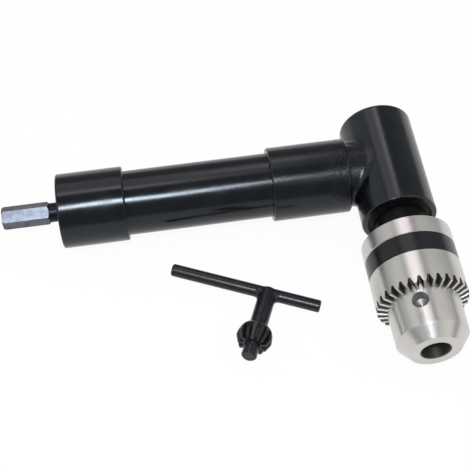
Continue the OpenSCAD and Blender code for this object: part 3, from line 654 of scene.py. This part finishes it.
def face_outwards(piece):
    """Merges doubles, turns the faces outwards and shades them smooth, but not across folds at the rims."""
    shape = bmesh.new()
    shape.from_mesh(piece.data)
    bmesh.ops.remove_doubles(shape, verts=shape.verts, dist=0.0001 * MM)
    bmesh.ops.recalc_face_normals(shape, faces=shape.faces)
    for face in shape.faces:
        face.smooth = True
    for edge in shape.edges:
        edge.smooth = edge.calc_face_angle(0) < fold_angle
    shape.to_mesh(piece.data)
    shape.free()


print("helpers for finished meshes ready")

# %% Weld the neck to the head
head_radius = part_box("gear_head")[1].x - spindle_x
neck_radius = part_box("main_tube")[1].y
weld = bpy.data.objects.new("neck_weld", bpy.data.meshes.new("neck_weld"))
bpy.context.scene.collection.objects.link(weld)
run_nodes(weld, weld_nodes, weld_ids, {
    "Pipe Radius": neck_radius, "Head Radius": head_radius, "Head Place": (spindle_x, 0, 0),
    "Spread": 2.2 * MM, "Ripples": 84, "Ripple Height": 0.05 * MM, "Unevenness": 2.0,
    "Sunk": 0.4 * MM, "Paint": weld_enamel,
})
face_outwards(weld)
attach(weld, "housing")
print("neck radius", round(neck_radius / MM, 2), "mm, head radius", round(head_radius / MM, 2), "mm")
print("weld faces:", len(weld.data.polygons))

# %% [markdown]
# ## Leaning table
#
# The attachment isn't level. It rests on its thick chuck and on the back edge of its thinner collar, so the
# model, whose shaft is level, gets a table that leans a little against it. Both parts are round, and the
# angle comes from the flat that touches two circles.

# %% Work out how the table leans
edge_round = 0.8 * MM
collar_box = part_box("rear_collar")
edge_away = spindle_x - (collar_box[0].x + edge_round)
edge_drop = (collar_box[1].z - collar_box[0].z) / 2 - edge_round
touch_drop = chuck_radius - edge_round
lean = math.asin(touch_drop / math.hypot(edge_away, edge_drop)) - math.atan2(edge_drop, edge_away)
on_table = (
    Matrix.Translation((spindle_x, 0, 0)) @ Matrix.Rotation(lean, 4, "Y")
    @ Matrix.Translation((-spindle_x, 0, -chuck_radius))
)
print("the table leans by", round(math.degrees(lean), 4), "degrees")

# %% [markdown]
# ## Brazed corners on the key
#
# The key's bar passes through the end of its shank, and brazing has left a small hollow corner round it on
# both sides. Each corner is a row of short curves. Every curve starts on the bar, bends in towards the
# meeting line and ends on the shank, so the row follows both cylinders. It shrinks to nothing where the
# shank ends, which a blend between two solids can't do as easily.

# %% The key's own frame, which lies on the table as in the solid model
key_place = Vector((100.9, -43.2, 3.56476)) * MM
key_turn, key_tilt, key_roll = (math.radians(angle) for angle in (-22.4, 8.41652, -2.9806))
bar_radius, shank_radius = 2.5 * MM, 3.5 * MM
key_frame = (
    on_table @ Matrix.Translation(key_place) @ Matrix.Rotation(key_turn, 4, "Z")
    @ Matrix.Rotation(math.radians(90) - key_tilt, 4, "X") @ Matrix.Rotation(key_roll, 4, "Z")
)
bar_points = [key_frame.inverted() @ v.co for v in frame["nodes"]["key_bar"].data.vertices]
bar_reach = max(math.hypot(p.y, p.z) for p in bar_points)
print("widest point of the bar from its axis, mm:", round(bar_reach / MM, 3))


# %% Points of one row across a brazed corner
braze_spread, braze_sunk, thinnest_share = 2.4 * MM, 0.3 * MM, 0.02


def corner_row(side, u, spread, sunk, steps):
    """Points from the bar to the shank across the corner and one inside it, at one place round the bar."""
    y, z = bar_radius * math.sin(u), bar_radius * math.cos(u)
    x = math.sqrt(shank_radius ** 2 - y ** 2)
    meeting = Vector((x, y, z))
    start = Vector((x + spread, y, z))
    end = Vector((x, y + spread * math.sin(u), z + spread * math.cos(u)))
    end.xy = end.xy.normalized() * shank_radius
    row = []
    for i in range(steps + 1):
        t = i / steps
        row.append(start * (1 - t) ** 2 + meeting * 2 * t * (1 - t) + end * t ** 2)
    row.append(meeting - Vector((sunk, math.sin(u) * sunk, math.cos(u) * sunk)))
    return [Vector((side * p.x, p.y, p.z)) for p in row]


print("row of", len(corner_row(1, 0.0, braze_spread, braze_sunk, 7)), "points ready")


# %% Make the brazed corners
def brazed_corner(name, side, reach=118, rows=40, steps=7):
    """Rows of points round the bar, up to reach degrees either way, joined into one closed shape."""
    shape = bmesh.new()
    rings = []
    for i in range(rows + 1):
        share = 2 * i / rows - 1
        u = math.radians(reach) * share
        spread = braze_spread * max(1 - abs(share) ** 3, thinnest_share)
        row = corner_row(side, u, spread, braze_sunk, steps)
        rings.append([shape.verts.new(key_frame @ p) for p in row])
    for one, two in zip(rings, rings[1:]):
        for j in range(len(one)):
            k = (j + 1) % len(one)
            shape.faces.new((one[j], one[k], two[k], two[j]))
    shape.faces.new(rings[0])
    shape.faces.new(rings[-1])
    mesh = bpy.data.meshes.new(name)
    shape.to_mesh(mesh)
    shape.free()
    piece = bpy.data.objects.new(name, mesh)
    bpy.context.scene.collection.objects.link(piece)
    face_outwards(piece)
    dress(piece, key_oxide)
    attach(piece, "chuck_key")
    return piece


for name, side in (("braze_long_side", -1), ("braze_short_side", 1)):
    print(name, "faces:", len(brazed_corner(name, side).data.polygons))

# %% [markdown]
# ## Table and light
#
# The white table is one large disc. In the picture it is pure white, so to the camera, and to reflections,
# most of it glows with a strength of one, and the rest is real white paint that keeps the tool's faint
# shadow. A row of narrow lamps above the camera draws the thin bright line along the tube. Two broad mauve
# lamps behind make the wide band above it, and the smaller of them strengthens its left half. Two narrow
# ones light the top of the head, dim on its left and bright on its right. Three pale panels stand at the
# sides, for the chuck and the head to mirror.

# %% The table
table_radius = 12
floor_mesh = bmesh.new()
bmesh.ops.create_circle(
    floor_mesh, cap_ends=True, segments=96, radius=table_radius,
    matrix=on_table @ Matrix.Translation((spindle_x / 2, 0, 0)),
)
table = bpy.data.objects.new("table", bpy.data.meshes.new("table"))
floor_mesh.to_mesh(table.data)
floor_mesh.free()
bpy.context.scene.collection.objects.link(table)
print("table under the chuck at z =", round(-chuck_radius / MM, 2), "mm")

# %% White paint that the camera sees as pure white
table_paint, glow_share = 0.88, 0.94
table_white = bpy.data.materials.new("table_white")
table_white.use_nodes = True
tree = table_white.node_tree
tree.nodes.clear()
paint = add_node(tree, "ShaderNodeBsdfDiffuse", {"Color": (table_paint, table_paint, table_paint, 1)})
glow = add_node(tree, "ShaderNodeEmission", {"Color": (1, 1, 1, 1), "Strength": 1.0})
path = add_node(tree, "ShaderNodeLightPath")
seen = maths(tree, "MAXIMUM", path.outputs["Is Camera Ray"], path.outputs["Is Glossy Ray"])
seen = maths(tree, "MAXIMUM", seen, path.outputs["Is Transmission Ray"])
share = maths(tree, "MULTIPLY", seen, glow_share)
mix = add_node(tree, "ShaderNodeMixShader", {"Fac": share, 1: paint.outputs[0], 2: glow.outputs[0]})
add_node(tree, "ShaderNodeOutputMaterial", {"Surface": mix.outputs[0]})
table.data.materials.append(table_white)
print("table finish:", table_white.name)

# %% The room's own light
room_colour, room_strength = (0.93, 0.96, 1.0, 1), 0.32
world = bpy.data.worlds.new("room")
world.use_nodes = True
room = world.node_tree.nodes["Background"]
room.inputs["Color"].default_value = room_colour
room.inputs["Strength"].default_value = room_strength
bpy.context.scene.world = world
print("room light", room_strength)


# %% Helpers for lamps
tube_middle = Vector((0.08, 0, 0))


def new_lamp(name, width, height, brightness, colour):
    """A flat soft lamp whose brightness is what a mirror would show of it, where white paper is 1."""
    light = bpy.data.lights.new(name, "AREA")
    light.shape = "RECTANGLE"
    light.size, light.size_y = width, height
    light.color = colour
    light.energy = brightness * math.pi * width * height
    thing = bpy.data.objects.new(name, light)
    bpy.context.scene.collection.objects.link(thing)
    thing.visible_camera = False
    return thing


def soft_box(name, place, target, width, height, brightness, colour):
    """A flat lamp that faces a target."""
    thing = new_lamp(name, width, height, brightness, colour)
    place, target = Vector(place), Vector(target)
    aim = (target - place).to_track_quat("-Z", "Y").to_matrix().to_4x4()
    thing.matrix_world = Matrix.Translation(place) @ aim


def strip_lamp(name, start, end, width, brightness, colour):
    """A long narrow lamp from one point to another that faces the middle of the tube."""
    start, end = Vector(start), Vector(end)
    middle, along = (start + end) / 2, (end - start).normalized()
    thing = new_lamp(name, width, (end - start).length, brightness, colour)
    side = along.cross(middle - tube_middle).normalized()
    thing.matrix_world = placed(middle, side, along, side.cross(along).normalized())


print("lamp helpers ready")

# %% Lamps
cold, mauve, pale_mauve = (0.86, 0.92, 1.0), (1.0, 0.89, 0.92), (1.0, 0.97, 0.97)
pale_blue, pale_cream, cream = (0.97, 0.99, 1.0), (1.0, 0.985, 0.97), (1.0, 0.985, 0.93)
strip_lamp("strip_collar", (-0.0506, -0.357, 0.6), (0.0397, -0.247, 0.6), 0.075, 46, cold)
strip_lamp("strip_left", (0.0397, -0.377, 0.6), (0.099, -0.304, 0.6), 0.075, 38, cold)
strip_lamp("strip_right", (0.099, -0.304, 0.6), (0.1506, -0.241, 0.6), 0.075, 22, cold)
strip_lamp("strip_sleeve", (0.1506, -0.341, 0.6), (0.228, -0.246, 0.6), 0.075, 4, cold)
soft_box("back_box", (0.035, 0.36, 0.57), (0.035, 0, 0), 0.37, 0.52, 0.92, mauve)
soft_box("band_box", (0.0, 0.17, 0.6), (0.0, 0, 0), 0.20, 0.10, 2.3, mauve)
soft_box("head_box_dim", (0.1325, 0.43, 0.56), (0.1325, 0, 0), 0.065, 0.15, 0.9, pale_mauve)
soft_box("head_box_bright", (0.195, 0.43, 0.56), (0.195, 0, 0), 0.045, 0.15, 2.1, pale_mauve)
soft_box("left_panel", (-0.33, 0.2, 0.24), (0.156, 0, 0), 0.85, 0.46, 0.34, pale_blue)
soft_box("left_front_panel", (-0.28, -0.19, 0.45), (0.156, -0.06, 0), 0.8, 0.36, 0.72, pale_cream)
soft_box("right_panel", (0.52, -0.16, 0.4), (0.156, -0.06, 0), 0.88, 0.66, 0.78, cream)
print("lamps ready")
